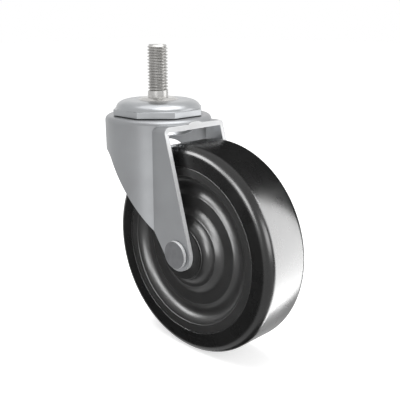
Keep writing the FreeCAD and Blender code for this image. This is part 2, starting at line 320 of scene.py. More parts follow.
# %% Draw the gap between two turns
PITCH = 1.5 * MM
ROOT_R = 4.08 * MM
ROOT_HALF = 0.125 * MM
FLANK_RISE = math.tan(math.radians(30))
THREAD_LOW_Z = 2.6 * MM
CUTTER_R = 5.15 * MM
mouth_half = ROOT_HALF + (CUTTER_R - ROOT_R) * FLANK_RISE
cutter = start_at("cutter", Vector((CUTTER_R, 0, THREAD_LOW_Z - mouth_half)))
draw_through([
    Vector((CUTTER_R, 0, -mouth_half)),
    Vector((ROOT_R, 0, -ROOT_HALF)),
    Vector((ROOT_R, 0, ROOT_HALF)),
    Vector((CUTTER_R, 0, mouth_half)),
])
bpy.ops.mesh.select_all(action="SELECT")
bpy.ops.mesh.edge_face_add()
bpy.ops.mesh.delete(type="ONLY_FACE")  # this leaves the edge that closes the outline
bpy.ops.object.mode_set(mode="OBJECT")
print("gap between turns:", round(2 * mouth_half / MM, 2), "mm wide at its mouth")

# %% Wind it up the stem
STEPS_A_TURN = 96
screw = cutter.modifiers.new("screw", "SCREW")
screw.angle = math.tau
screw.screw_offset = PITCH
screw.iterations = math.ceil((tip_z + 2 * PITCH - THREAD_LOW_Z) / PITCH)
screw.steps = STEPS_A_TURN
screw.render_steps = STEPS_A_TURN
apply_modifier(cutter, screw)
bpy.ops.object.mode_set(mode="EDIT")
bpy.ops.mesh.select_all(action="SELECT")
bpy.ops.mesh.remove_doubles(threshold=WELD)
bpy.ops.mesh.fill_holes(sides=4)
bpy.ops.mesh.select_all(action="SELECT")
bpy.ops.mesh.normals_make_consistent(inside=False)
bpy.ops.object.mode_set(mode="OBJECT")
print("cutter:", len(cutter.data.polygons), "faces")

# %% [markdown]
# A thread doesn't stop dead. Over the last part of a turn the tool comes out of the
# steel and the gap gets shallower, so the start of the cutter is moved outwards.

# %% Let the thread run out, and cut it
RUN_OUT = 0.75  # of a turn
for vertex in cutter.data.vertices:
    turn = math.atan2(vertex.co.y, vertex.co.x) / math.tau % 1
    climbed = round((vertex.co.z - THREAD_LOW_Z) / PITCH - turn) + turn
    if climbed < RUN_OUT:
        lift = 1 + (CUTTER_R / ROOT_R - 1) * (1 - max(climbed, 0) / RUN_OUT) ** 2
        vertex.co.x *= lift
        vertex.co.y *= lift
combine(stem, cutter, "DIFFERENCE")
smooth(stem, sharp_from=30)

# %% [markdown]
# ## The upper cup
#
# The cup is pressed from 2.9 mm sheet. Its flange has eight flats for a wrench, 42 mm
# across, and its dome stands over the upper ring of balls. It could be spun whole and
# its flange trimmed, but an eight-sided cylinder has clean flats and corners from the
# start. So that is the flange, a spun dome is joined to it, and a spun hollow with the
# race for the balls is cut out.

# %% Sizes of the cup
CUP_SHEET = 2.9 * MM
FLATS = 8
FLANGE_LEDGE = 0.4 * MM
DOME_WALL = 2.57 * MM
DOME_CURVE = 5.7 * MM
UPPER_BALL_R = 2.38 * MM
BALL_CLEARANCE = 0.05 * MM
STAKED_CLEARANCE = 0.05 * MM
upper_groove_r = UPPER_BALL_R + BALL_CLEARANCE
dome_base_r = cup_high.x - FLANGE_LEDGE
dome_top_r = dome_base_r - DOME_CURVE
race_edge = dome_base_r - DOME_WALL
upper_race_r = race_edge - upper_groove_r
dome_under_z = cup_high.z - CUP_SHEET
upper_ball_z = dome_under_z - upper_groove_r
flange_top_z = cup_low.z + CUP_SHEET
corner_r = cup_high.x / math.cos(math.pi / FLATS)
print("cup across its flats in mm:", round(2 * cup_high.x / MM, 2))

# %% Start with the flange
bpy.ops.object.select_all(action="DESELECT")
bpy.ops.mesh.primitive_cylinder_add(
    vertices=FLATS, radius=corner_r, depth=CUP_SHEET,
    location=(0, 0, (cup_low.z + flange_top_z) / 2), rotation=(0, 0, math.pi / FLATS),
)
cup = bpy.context.object
cup.name = "cup"
bpy.ops.object.transform_apply()

# %% Join the dome
inside_z = cup_low.z + CUP_SHEET / 2
dome = turned("dome", [
    (0, inside_z),
    (dome_base_r, inside_z),
    (dome_base_r, flange_top_z),
    *quarter_turn((dome_base_r, flange_top_z), (dome_base_r, cup_high.z), (dome_top_r, cup_high.z)),
    (0, cup_high.z),
])
combine(cup, dome, "UNION")

# %% Cut out the hollow
hollow = turned("hollow", [
    (0, cup_low.z - CUP_SHEET),
    (race_edge, cup_low.z - CUP_SHEET),
    (race_edge, upper_ball_z),
    *quarter_turn((race_edge, upper_ball_z), (race_edge, dome_under_z), (upper_race_r, dome_under_z)),
    (SHANK_R + STAKED_CLEARANCE, dome_under_z),
    (SHANK_R + STAKED_CLEARANCE, cup_high.z + CUP_SHEET),
    (0, cup_high.z + CUP_SHEET),
])
combine(cup, hollow, "DIFFERENCE")

# %% Break the cup's edges
NEAR_TWINS = 0.05 * MM  # the cuts leave pairs of points this close, which spoil the bevel
select_only(cup)
bpy.ops.object.mode_set(mode="EDIT")
bpy.ops.mesh.select_all(action="SELECT")
bpy.ops.mesh.remove_doubles(threshold=NEAR_TWINS)
bpy.ops.object.mode_set(mode="OBJECT")
break_edges(cup, 0.18 * MM, steps=3, sharper_than=30)
smooth(cup)

# %% [markdown]
# ## The lower cup
#
# A drawn cup holds the lower balls against the fork, and the stem's riveted end closes
# under its floor. A Solidify modifier would give a spun skin the same wall all over,
# but the race inside has a radius of its own. So the inside and the outside are one
# profile, which is spun.

# %% Draw the lower cup
LOWER_CORNER_R = 2.4 * MM
LOWER_BALL_R = 1.985 * MM
lower_groove_r = LOWER_BALL_R + BALL_CLEARANCE
lower_outer_r = lower_cup_high.x
lower_wall_r = lower_outer_r - LOWER_SHEET
lower_race_r = lower_wall_r - lower_groove_r
lower_ball_z = race_floor_z + lower_groove_r
lower_bore_r = TENON_R + STAKED_CLEARANCE
base_z = lower_cup_low.z
round_z = base_z + LOWER_CORNER_R
race_cup = turned("race_cup", [
    (lower_bore_r, base_z),
    (lower_outer_r - LOWER_CORNER_R, base_z),
    *quarter_turn(
        (lower_outer_r - LOWER_CORNER_R, base_z), (lower_outer_r, base_z), (lower_outer_r, round_z)
    ),
    (lower_outer_r, lower_cup_high.z),
    (lower_wall_r, lower_cup_high.z),
    (lower_wall_r, lower_ball_z),
    *quarter_turn(
        (lower_wall_r, lower_ball_z), (lower_wall_r, race_floor_z), (lower_race_r, race_floor_z)
    ),
    (lower_bore_r, race_floor_z),
    (lower_bore_r, base_z),
])
break_edges(race_cup, 0.25 * MM, steps=2)
smooth(race_cup)

# %% [markdown]
# ## The fork
#
# The fork is one pressing of 2.5 mm sheet: a round head that carries the ball races,
# and two flat legs that taper down to the axle. A skin with a Solidify modifier could
# follow it, but the wall wouldn't stay even where the drawn head meets the bent legs.
# So it starts as an outer form, less the same form one sheet smaller.

# %% The form inside and outside the sheet
SHEET = 2.5 * MM
HEAD_ROUND = 2.3 * MM
REAR_X = 25.6 * MM
REAR_STEP = 2.1 * MM
LEG_BEND_R = 2.8 * MM
LEG_OUTER_Y = 19.35 * MM
TINY = 0.01 * MM  # slack when edges are picked by place
LEAST_ROUND = 10 * TINY  # for the inner form, which has no room for a round
head_r = fork_high.y
leg_end_r = fork_high.x - axle.x
plate_z = fork_high.z - REAR_STEP


def pressed_form(name, inset):
    """The head and legs as one solid, smaller by an inset all round, and longer than the
    legs at the bottom and the back, where it is trimmed later."""
    top_z = fork_high.z - inset
    side_z = plate_z - inset
    side_y = LEG_OUTER_Y - inset
    low_z = axle.z - 2 * leg_end_r
    far_x = axle.x + 2 * leg_end_r
    bpy.ops.object.select_all(action="DESELECT")
    bpy.ops.mesh.primitive_cylinder_add(
        vertices=256, radius=head_r - inset, depth=top_z - low_z,
        location=(0, 0, (top_z + low_z) / 2),
    )
    form = bpy.context.object
    form.name = name
    bpy.ops.object.transform_apply()
    bpy.ops.object.mode_set(mode="EDIT")
    select_edges(form, lambda place: place.z > top_z - TINY)
    bpy.ops.mesh.bevel(offset=max(HEAD_ROUND - inset, LEAST_ROUND), segments=10, affect="EDGES")
    bpy.ops.object.mode_set(mode="OBJECT")
    bpy.ops.object.select_all(action="DESELECT")
    bpy.ops.mesh.primitive_cube_add(
        size=1, location=(far_x / 2, 0, (side_z + low_z) / 2),
        scale=(far_x, 2 * side_y, side_z - low_z),
    )
    legs = bpy.context.object
    bpy.ops.object.transform_apply()
    bpy.ops.object.mode_set(mode="EDIT")
    for side in (-1, 1):
        select_edges(
            legs, lambda place: place.z > side_z - TINY and place.y * side > side_y - TINY
        )
        bpy.ops.mesh.bevel(offset=LEG_BEND_R - inset, segments=8, affect="EDGES")
    bpy.ops.object.mode_set(mode="OBJECT")
    return combine(form, legs, "UNION")


fork = pressed_form("fork_pressing", 0)
print("outer form:", len(fork.data.polygons), "faces")
combine(fork, pressed_form("inner", SHEET), "DIFFERENCE")
print("skin:", len(fork.data.polygons), "faces")

# %% [markdown]
# In side view the head ends in a lip at the front. Behind a notch the legs come down in
# a rounded skirt, taper, and close in an arc round the axle. Both legs have the same
# outline, so one wide prism is drawn from it, and a Boolean keeps what lies inside.

# %% The outline in side view
LIP_DEPTH = 9.8 * MM
NOTCH_X = -14.0 * MM
NOTCH_ROUND = 2.0 * MM
SKIRT_DEPTH = 16.5 * MM
SKIRT_FLAT = 5.2 * MM
SKIRT_ROUND = 9.3 * MM
END_STEPS = 32


def touch_angle(point, side):
    """Direction from the axle to where a line from a point touches the leg's round end."""
    dx, dz = axle.x - point[0], axle.z - point[1]
    line = math.atan2(dz, dx) + side * math.asin(leg_end_r / math.hypot(dx, dz))
    return line + side * math.pi / 2


lip_z = fork_high.z - LIP_DEPTH
skirt_z = fork_high.z - SKIRT_DEPTH
slope = (NOTCH_X + SKIRT_FLAT, skirt_z)
rear = (REAR_X, plate_z - SHEET)
front_angle, rear_angle = touch_angle(slope, -1), touch_angle(rear, 1)
leg_end = []
for step in range(END_STEPS + 1):
    angle = front_angle + (rear_angle - front_angle) * step / END_STEPS
    leg_end.append((axle.x + leg_end_r * math.cos(angle), axle.z + leg_end_r * math.sin(angle)))
clear = 2 * head_r  # well outside the fork
side_view = [
    (-clear, head_r),
    (-clear, lip_z),
    *rounded_corner((-clear, lip_z), (NOTCH_X, lip_z), (NOTCH_X, skirt_z), NOTCH_ROUND),
    (NOTCH_X, skirt_z),
    *rounded_corner((NOTCH_X, skirt_z), slope, leg_end[0], SKIRT_ROUND, steps=16),
    *leg_end,
    rear,
    (REAR_X, head_r),
]
print("outline:", len(side_view), "points")

# %% Trim both legs
places = [Vector((x, -clear, z)) for x, z in side_view]
trim = start_at("trim", places[0])
draw_through(places)
bpy.ops.mesh.select_all(action="SELECT")
bpy.ops.mesh.edge_face_add()
bpy.ops.mesh.extrude_region_move(TRANSFORM_OT_translate={"value": (0, 2 * clear, 0)})
bpy.ops.mesh.select_all(action="SELECT")
bpy.ops.mesh.normals_make_consistent(inside=False)
bpy.ops.object.mode_set(mode="OBJECT")
combine(fork, trim, "INTERSECT")
print("trimmed:", len(fork.data.polygons), "faces")

# %% [markdown]
# Both faces of the head's sheet are races. The upper balls run in a round groove that is
# pressed down into it, and the lower balls on the rib that the groove pushes out below.
# The rib is spun and joined on, and a torus takes out the groove.

# %% Press the race
rib_r = upper_groove_r + SHEET
under_z = fork_high.z - SHEET
rib_half = math.sqrt(rib_r**2 - (upper_ball_z - under_z) ** 2)
rib_tilt = math.asin(rib_half / rib_r)
RIB_STEPS = 16
rib_arc = []
for step in range(RIB_STEPS + 1):
    tilt = rib_tilt * (2 * step / RIB_STEPS - 1)
    rib_arc.append((upper_race_r + rib_r * math.sin(tilt), upper_ball_z - rib_r * math.cos(tilt)))
inside_z = under_z + SHEET / 2
rib = turned("rib", [
    (upper_race_r - rib_half, inside_z),
    *rib_arc,
    (upper_race_r + rib_half, inside_z),
    (upper_race_r - rib_half, inside_z),
])
combine(fork, rib, "UNION")
bpy.ops.object.select_all(action="DESELECT")
bpy.ops.mesh.primitive_torus_add(
    major_radius=upper_race_r, minor_radius=upper_groove_r, location=(0, 0, upper_ball_z),
    major_segments=192, minor_segments=64,
)
combine(fork, bpy.context.object, "DIFFERENCE")
print("race: radius", round(upper_race_r / MM, 2), "mm")

# %% Punch the holes
PIVOT_HOLE_R = 8.0 * MM
RIVET_R = 4.0 * MM
RIVET_CLEARANCE = 0.1 * MM
bpy.ops.object.select_all(action="DESELECT")
bpy.ops.mesh.primitive_cylinder_add(
    vertices=128, radius=PIVOT_HOLE_R, depth=4 * SHEET, location=(0, 0, under_z),
)
combine(fork, bpy.context.object, "DIFFERENCE")
bpy.ops.object.select_all(action="DESELECT")
bpy.ops.mesh.primitive_cylinder_add(
    vertices=96, radius=RIVET_R + RIVET_CLEARANCE, depth=3 * head_r,
    location=axle, rotation=(math.pi / 2, 0, 0),
)
combine(fork, bpy.context.object, "DIFFERENCE")
break_edges(fork, 0.2 * MM, steps=3, sharper_than=32)
smooth(fork, sharp_from=32)

# %% [markdown]
# The edges that the punch cut will get a rough finish of their own, painted pale as a
# highlight. Their faces are picked by place: in side view they lie on the outline of the
# trim, and they don't face sideways.

# %% Find the faces that the punch cut
CUT_SLACK = 0.03 * MM
SIDEWAYS = 0.1  # a cut face's normal leans less than this towards a side


def off_the_outline(x, z):
    """How far a place in the side view is from the trimmed outline."""
    place = Vector((x, z))
    nearest = head_r
    for here, there in zip(side_view, side_view[1:]):
        start, along = Vector(here), Vector(there) - Vector(here)
        t = min(max((place - start).dot(along) / along.length_squared, 0), 1)
        nearest = min(nearest, (place - start - t * along).length)
    return nearest


punched = [
    face.index for face in fork.data.polygons
    if off_the_outline(face.center.x, face.center.z) < CUT_SLACK and abs(face.normal.y) < SIDEWAYS
]
print("faces cut by the punch:", len(punched))

# %% [markdown]
# ## The wheel
#
# The wheel centre is moulded: a rim, a disc with a round groove between them, and a
# hub that rises to the legs. The tread is solid rubber, keyed into the rim. Each could
# be a cylinder with its grooves cut in, but one section shows every round and slope at
# once. So both are spun round the axle, from half a profile and its mirror image.

# %% Mirror a half profile
def both_halves(half):
    """A closed profile from its half at heights above 0, as (radius, height)."""
    mirrored = [(radius, -height) for radius, height in half]
    return [*half, *reversed(mirrored), half[0]]


# %% Mould the wheel centre
TREAD_SEAT_R = centre_high.x - axle.x
KEY_DEPTH = 3.0 * MM
KEY_WIDTH = 12.0 * MM
KEY_TAPER = 1.0 * MM
RIM_WIDTH = 26.2 * MM
RIM_INNER_R = 35.7 * MM
DISC_OUTER_R = 26.7 * MM
DISC_INNER_R = 21.7 * MM
DISC_WIDTH = 20.2 * MM
GROOVE_DEPTH = 2.6 * MM
HUB_R = 12.75 * MM
HUB_CREASE_R = 17.6 * MM
HUB_CREASE_WIDTH = 24.4 * MM
CREASE_PULL = 2.0 * MM
BORE_R = 10.58 * MM
hub_end = centre_high.y


def arc_through(start, middle, end, steps=24):
    """Points after the start of the arc through three points."""
    a, b, c = Vector(start), Vector(middle), Vector(end)
    chord = c - a
    foot = (a + c) / 2
    rise = (b - foot).length
    radius = (chord.length**2 / 4 + rise**2) / (2 * rise)
    hub = b + (foot - b).normalized() * radius
    return swing(hub, a - hub, c - hub, steps)[1:]


rim_edge = Vector((RIM_INNER_R, RIM_WIDTH / 2))
disc_edge = Vector((DISC_OUTER_R, DISC_WIDTH / 2))
across = (rim_edge - disc_edge).normalized()
groove_floor = (rim_edge + disc_edge) / 2 + GROOVE_DEPTH * Vector((across.y, -across.x))
disc_foot = (DISC_INNER_R, DISC_WIDTH / 2)
crease = (HUB_CREASE_R, HUB_CREASE_WIDTH / 2)
centre_half = [
    (TREAD_SEAT_R - KEY_DEPTH, KEY_WIDTH / 2 - KEY_TAPER),
    (TREAD_SEAT_R, KEY_WIDTH / 2),
    (TREAD_SEAT_R, rim_edge.y),
    tuple(rim_edge),
    *arc_through(rim_edge, groove_floor, disc_edge),
    disc_foot,
    *quarter_turn(disc_foot, (crease[0] + CREASE_PULL, disc_foot[1]), crease),
    *quarter_turn(crease, (HUB_R, crease[1]), (HUB_R, hub_end), steps=16),
    (BORE_R, hub_end),
]
centre = turned("moulded_centre", both_halves(centre_half), ALONG_AXLE, axle, steps=256)
break_edges(centre, 0.35 * MM, steps=4, sharper_than=14)
smooth(centre, sharp_from=30)

# %% [markdown]
# The tread is moulded onto the wheel centre. Its inside follows the key of the rim, so
# that it can't slip off sideways, and its shoulders are round, so that it climbs over
# edges. The same values are used for the key on both pieces, so they fit each other.

# %% Mould the tread
SHOULDER_R = 4.3 * MM
wheel_r = tyre_high.x - axle.x
half_tread = tyre_high.y
tread_half = [
    (wheel_r, 0),
    (wheel_r, half_tread - SHOULDER_R),
    *quarter_turn(
        (wheel_r, half_tread - SHOULDER_R), (wheel_r, half_tread), (wheel_r - SHOULDER_R, half_tread),
        steps=16,
    ),
    (TREAD_SEAT_R, half_tread),
    (TREAD_SEAT_R, KEY_WIDTH / 2),
    (TREAD_SEAT_R - KEY_DEPTH, KEY_WIDTH / 2 - KEY_TAPER),
]
tread = turned("moulded_tread", both_halves(tread_half), ALONG_AXLE, axle, steps=320)
break_edges(tread, 0.3 * MM, steps=3, sharper_than=20)
smooth(tread, sharp_from=30)

# %% [markdown]
# ## The axle rivet
#
# A plated steel pin joins the legs. Its two flat heads are set by the riveting machine,
# which leaves a soft edge and a barely crowned face. Three cylinders would do for the
# pin and its heads, but not for the crown, so the rivet is spun as well.

# %% Head the rivet
RIVET_HEAD_H = 2.1 * MM
RIVET_CROWN = 0.12 * MM
CROWN_KNEE_R = 0.55  # of the head's radius
CROWN_KNEE_DROP = 0.3  # of the crown, which has gone by there
rivet_head_r = rivet_high.z - axle.z
head_under = rivet_high.y - RIVET_HEAD_H
rivet_half = [
    (0, rivet_high.y),
    (CROWN_KNEE_R * rivet_head_r, rivet_high.y - CROWN_KNEE_DROP * RIVET_CROWN),
    (rivet_head_r, rivet_high.y - RIVET_CROWN),
    (rivet_head_r, head_under),
    (RIVET_R, head_under),
    (RIVET_R, 0),
]
rivet_profile = both_halves(rivet_half)[:-1]  # open along the axis
rivet = turned("rivet", rivet_profile, ALONG_AXLE, axle, steps=128)
break_edges(rivet, 0.35 * MM, steps=4, sharper_than=30)
smooth(rivet, sharp_from=30)

# %% [markdown]
# ## Surfaces
#
# Each material starts from what the real one is. Colours are written as on a screen,
# in hex, and one function turns them to linear light. One more function adds a node
# with its settings and links. Patterns read Object coordinates, and their scale is
# one over a real size in metres.

# %% Tools for materials
def colour(code):
    """Linear RGBA of a hex colour in sRGB."""
    linear = []
    for place in (0, 2, 4):
        part = int(code[place:place + 2], 16) / 255
        linear.append(part / 12.92 if part <= 0.04045 else ((part + 0.055) / 1.055) ** 2.4)
    return (*linear, 1)


def add_node(tree, kind, attributes=None, inputs=None):
    """Adds a node. An input is given a value, or the output that feeds it."""
    node = tree.nodes.new(kind)
    for name, value in (attributes or {}).items():
        setattr(node, name, value)
    for name, value in (inputs or {}).items():
        if isinstance(value, bpy.types.NodeSocket):
            tree.links.new(value, node.inputs[name])
        else:
            node.inputs[name].default_value = value
    return node


def new_material(name, values):
    """A material whose Principled shader has some inputs set to values."""
    material = bpy.data.materials.new(name)
    material.use_nodes = True
    shader = material.node_tree.nodes["Principled BSDF"]
    for input_name, value in values.items():
        shader.inputs[input_name].default_value = value
    return material


# %% [markdown]
# No made surface is quite even. On these pieces three things vary: the shade, the gloss
# and a relief of a few thousandths of a millimetre. Each follows noise of its own, with
# blotches of a size that is given, which can be drawn out along an axis like the marks
# of a tool. Where the real marks are too fine to show, they are drawn coarser.

# %% Let shade, gloss and relief vary
DARK_END, LIGHT_END = 0.3, 0.7  # most of the noise lies between these two


def noise_on_piece(tree, blotch, detail=2.0, scale=(1, 1, 1)):
    """Noise that stays on a piece, with blotches about so many metres across. A scale
    under 1 draws them out along that axis."""
    where = add_node(tree, "ShaderNodeTexCoord")
    place = add_node(tree, "ShaderNodeMapping", inputs={
        "Vector": where.outputs["Object"], "Scale": scale,
    })
    noise = add_node(tree, "ShaderNodeTexNoise", inputs={
        "Vector": place.outputs["Vector"], "Scale": 1 / blotch, "Detail": detail,
    })
    return noise.outputs["Fac"]


def blotched_shade(material, blotch, dark, light, detail=2.0):
    """Lets the colour run between two shades."""
    tree = material.node_tree
    ramp = add_node(tree, "ShaderNodeValToRGB", inputs={
        "Fac": noise_on_piece(tree, blotch, detail),
    })
    ramp.color_ramp.elements[0].position = DARK_END
    ramp.color_ramp.elements[0].color = colour(dark)
    ramp.color_ramp.elements[1].position = LIGHT_END
    ramp.color_ramp.elements[1].color = colour(light)
    tree.links.new(ramp.outputs["Color"], tree.nodes["Principled BSDF"].inputs["Base Color"])


def uneven_gloss(material, blotch, low, high, detail=2.0, scale=(1, 1, 1)):
    """Lets the roughness run between two values."""
    tree = material.node_tree
    run = add_node(tree, "ShaderNodeMapRange", inputs={
        "Value": noise_on_piece(tree, blotch, detail, scale),
        "From Min": DARK_END, "From Max": LIGHT_END, "To Min": low, "To Max": high,
    })
    tree.links.new(run.outputs["Result"], tree.nodes["Principled BSDF"].inputs["Roughness"])


def fine_relief(material, blotch, depth, scale=(1, 1, 1)):
    """Lets the surface rise and fall by a depth in metres, as a bump."""
    tree = material.node_tree
    bump = add_node(tree, "ShaderNodeBump", inputs={
        "Height": noise_on_piece(tree, blotch, scale=scale), "Distance": depth,
    })
    tree.links.new(bump.outputs["Normal"], tree.nodes["Principled BSDF"].inputs["Normal"])


# %% [markdown]
# The fork is cold-rolled sheet with bright zinc plate. Pressing leaves faint drag lines
# down its sides. They are far finer on the real sheet, and are drawn 1.5 mm apart and
# twenty times as long. The eye gets an even satin grey, a little blotched, with a soft
# edge to every reflection.

# %% Satin zinc over pressed sheet
DOWN_THE_SIDES = (1, 1, 0.05)


def zinc_plated_sheet():
    material = new_material("zinc_plated_sheet", {"Metallic": 1.0})
    blotched_shade(material, 20 * MM, "8F9092", "989A9C")
    uneven_gloss(material, 5 * MM, 0.34, 0.4)
    fine_relief(material, 1.5 * MM, 0.006 * MM, scale=DOWN_THE_SIDES)
    return material


# %% [markdown]
# Where the punch sheared the sheet, the edge is torn across the grain of the steel, and is
# rougher and duller than the faces. Its near-white colour here is a painted highlight, so
# that it scatters the light almost as white paint does. The rims of the rivet's heads get
# the same painted highlight, so they share this finish. A lamp could whiten all these
# edges from one side only. The painted highlight does it from every side.

# %% Rough zinc over the punched edges, painted pale as a highlight
def painted_highlight_edge():
    material = new_material("painted_highlight_edge", {"Metallic": 0.15})
    # the near-white shade is a painted highlight, not the colour of the zinc
    blotched_shade(material, 4 * MM, "DADBDC", "E2E3E4", detail=3.0)
    uneven_gloss(material, 1.5 * MM, 0.5, 0.6, detail=3.0)
    return material


# %% [markdown]
# The stem and the cups are plated too, but the lathe or the press tool has polished
# them, so they are brighter. The stem's surface has the fine rings of a lathe tool,
# 0.25 mm apart: noise that is drawn out sideways and stays narrow along the stem.

# %% Bright zinc over turned steel
ROUND_THE_STEM = (0.03, 0.03, 1)


def zinc_plated_turning():
    material = new_material("zinc_plated_turning", {"Metallic": 1.0})
    blotched_shade(material, 5 * MM, "B2B1AF", "BEBDBB", detail=3.0)
    uneven_gloss(material, 0.25 * MM, 0.24, 0.32, scale=ROUND_THE_STEM)
    fine_relief(material, 0.25 * MM, 0.004 * MM, scale=ROUND_THE_STEM)
    return material


# %% [markdown]
# The cups were drawn by a tool that leaves no lines, only a fine orange peel. It is
# drawn coarser than it is, 1.8 mm across, so that it shows.

# %% Bright zinc over drawn steel
def zinc_plated_drawing():
    material = new_material("zinc_plated_drawing", {"Metallic": 1.0})
    blotched_shade(material, 8 * MM, "9C9EA0", "A6A8AA", detail=3.0)
    uneven_gloss(material, 4 * MM, 0.28, 0.33)
    fine_relief(material, 1.8 * MM, 0.003 * MM)
    return material


# %% [markdown]
# The rivet is plated steel wire, headed cold. The faces of its heads are mottled, and
# painted darker than the sheet: the dark grey is painted shade.

# %% Zinc over the rivet, darkened by painted shade
def rivet_steel_painted_shade():
    material = new_material("rivet_steel_painted_shade", {"Metallic": 1.0})
    # the dark grey, darker than the sheet, is painted shade; the mottling is the plate's own
    blotched_shade(material, 3 * MM, "6E6F71", "7A7B7D", detail=4.0)
    uneven_gloss(material, 1.5 * MM, 0.36, 0.44, detail=3.0)
    fine_relief(material, 1.3 * MM, 0.004 * MM)
    return material


# %% [markdown]
# The tread is black rubber out of a polished mould. It is glossy enough to carry long
# soft highlights. The wheel centre is dark grey polypropylene with a spark-eroded grain,
# which is drawn coarser than it is, so that it shows.

# %% Rubber and polypropylene
def black_rubber():
    material = new_material("black_rubber", {"Metallic": 0.0, "IOR": 1.5})
    blotched_shade(material, 14 * MM, "151515", "1B1B1B")
    uneven_gloss(material, 8 * MM, 0.26, 0.3)
    return material


def grey_polypropylene():
    material = new_material("grey_polypropylene", {"Metallic": 0.0, "IOR": 1.46})
    blotched_shade(material, 16 * MM, "2C2C2C", "323232")
    uneven_gloss(material, 6 * MM, 0.29, 0.33)
    fine_relief(material, 2.5 * MM, 0.004 * MM)
    return material


# %% [markdown]
# Inside are hardened and polished balls and rollers, black nylon washers and a cage of
# natural acetal. They hardly show, but each still has its own finish.

# %% Finishes of the bearings
def polished_steel():
    material = new_material("polished_steel", {"Metallic": 1.0})
    blotched_shade(material, 2 * MM, "B2B4B8", "BEC0C3")
    uneven_gloss(material, 1 * MM, 0.1, 0.16, detail=3.0)
    return material


def bearing_plastic(name, dark, light, index):
    material = new_material(name, {"Metallic": 0.0, "IOR": index})
    blotched_shade(material, 3 * MM, dark, light)
    uneven_gloss(material, 1 * MM, 0.4, 0.5)
    fine_relief(material, 0.5 * MM, 0.004 * MM)
    return material


# %% [markdown]
# Each new piece rides on the body of the imported node that it stands for, which is
# hidden, and gets its finish.

# %% Dress the new pieces
sheet_finish = zinc_plated_sheet()
turned_finish = zinc_plated_turning()
drawn_finish = zinc_plated_drawing()
new_pieces = [
    (stem, "threaded_stem", turned_finish),
    (cup, "upper_cup", drawn_finish),
    (race_cup, "lower_cup", drawn_finish),
    (fork, "fork", sheet_finish),
    (centre, "wheel_centre", grey_polypropylene()),
    (tread, "tyre", black_rubber()),
    (rivet, "axle_rivet", rivet_steel_painted_shade()),
]
for piece, node_name, finish in new_pieces:
    piece.data.materials.clear()
    piece.data.materials.append(finish)
    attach(piece, frame["nodes"][node_name]["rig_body"])
    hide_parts(node_name)
print(len(new_pieces), "pieces stand for their nodes")

# %% [markdown]
# A second material, rough and painted pale as a highlight, goes on some faces of the fork
# and the rivet. The fork's were found when it was punched. The rivet's are the rims of its
# heads, outside the legs.

# %% Put the painted highlight on the rough faces
RIM_LEAN = 0.5  # a rim face's normal leans less than this along the axle
painted_highlight_finish = painted_highlight_edge()
fork.data.materials.append(painted_highlight_finish)
rivet.data.materials.append(painted_highlight_finish)
# these punched faces and the rivet's rims get the pale finish, a painted highlight
for index in punched:
    fork.data.polygons[index].material_index = 1
for face in rivet.data.polygons:
    if abs(face.center.y) > head_under and abs(face.normal.y) < RIM_LEAN:
        face.material_index = 1
print("faces with crust:", len(punched), "on the fork,",
      sum(face.material_index for face in rivet.data.polygons), "on the rivet")

# %% [markdown]
# The balls, the rollers and their cage, the sleeve and the washers are hidden or nearly
# so. Finer meshes wouldn't show, so their packed ones stay and only get a finish, which
# is found by the name of their slot.

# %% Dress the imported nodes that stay
finishes = {
    "bearing_steel": polished_steel(),
    "washer_plastic": bearing_plastic("black_nylon", "222222", "2A2A2A", 1.53),
    "cage_plastic": bearing_plastic("natural_acetal", "D6D4CC", "E0DED6", 1.48),
}
replaced = [node_name for piece, node_name, finish in new_pieces]
for node_name, node in frame["nodes"].items():
    if node_name not in replaced:
        slot_name = node.material_slots[0].material.name.split(".")[0]
        node.material_slots[0].material = finishes[slot_name]
print(len(frame["nodes"]) - len(replaced), "nodes keep their mesh")

# %% [markdown]
# ## Floor, light and camera
#
# The caster stands on a plain white floor in even studio light. The background is white
# because rays that are seen directly find it so, by Light Path, and not because the
# lamps are strong. Glossy and transmission rays count as seen directly too, so that
# the metal shows the same white room.

# %% Tell rays that are seen directly
def seen_directly(tree):
    """1 for camera, glossy and transmission rays, else 0."""
    path = add_node(tree, "ShaderNodeLightPath")
    seen = path.outputs["Is Camera Ray"]
    for kind in ("Is Glossy Ray", "Is Transmission Ray"):
        either = add_node(tree, "ShaderNodeMath", {"operation": "MAXIMUM"}, {
            0: seen, 1: path.outputs[kind],
        })
        seen = either.outputs[0]
    return seen


# %% Floor
FLOOR_SIZE = 8.0
FLOOR_GLOW = 0.62  # what lifts the lit paint to white
WHITE = colour("FFFFFF")


def bare_material(name):
    """A material with no nodes yet, and its node tree."""
    material = bpy.data.materials.new(name)
    material.use_nodes = True
    material.node_tree.nodes.clear()
    return material, material.node_tree


def plain_white_floor():
    """Pale paint, with a glow that only rays that are seen directly find."""
    material, tree = bare_material("white_floor")
    paint = add_node(tree, "ShaderNodeBsdfDiffuse", inputs={"Color": colour("E8E8E8")})
    strength = add_node(tree, "ShaderNodeMath", {"operation": "MULTIPLY"}, {
        0: seen_directly(tree), 1: FLOOR_GLOW,
    })
    glow = add_node(tree, "ShaderNodeEmission", inputs={
        "Color": WHITE, "Strength": strength.outputs[0],
    })
    both = add_node(tree, "ShaderNodeAddShader", inputs={0: paint.outputs[0], 1: glow.outputs[0]})
    add_node(tree, "ShaderNodeOutputMaterial", inputs={"Surface": both.outputs[0]})
    return material


bpy.ops.object.select_all(action="DESELECT")
bpy.ops.mesh.primitive_plane_add(size=FLOOR_SIZE, location=(axle.x, 0, tyre_low.z))
floor = bpy.context.object
floor.name = "floor"
floor.data.materials.append(plain_white_floor())
floor.visible_glossy = False
floor.visible_shadow = False
floor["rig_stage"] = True
print("floor at z in mm:", round(tyre_low.z / MM, 2))

# %% [markdown]
# The world is the room. Scattered rays find it at half of white, so that the soft boxes
# still shape the object. Rays that are seen directly find it white.

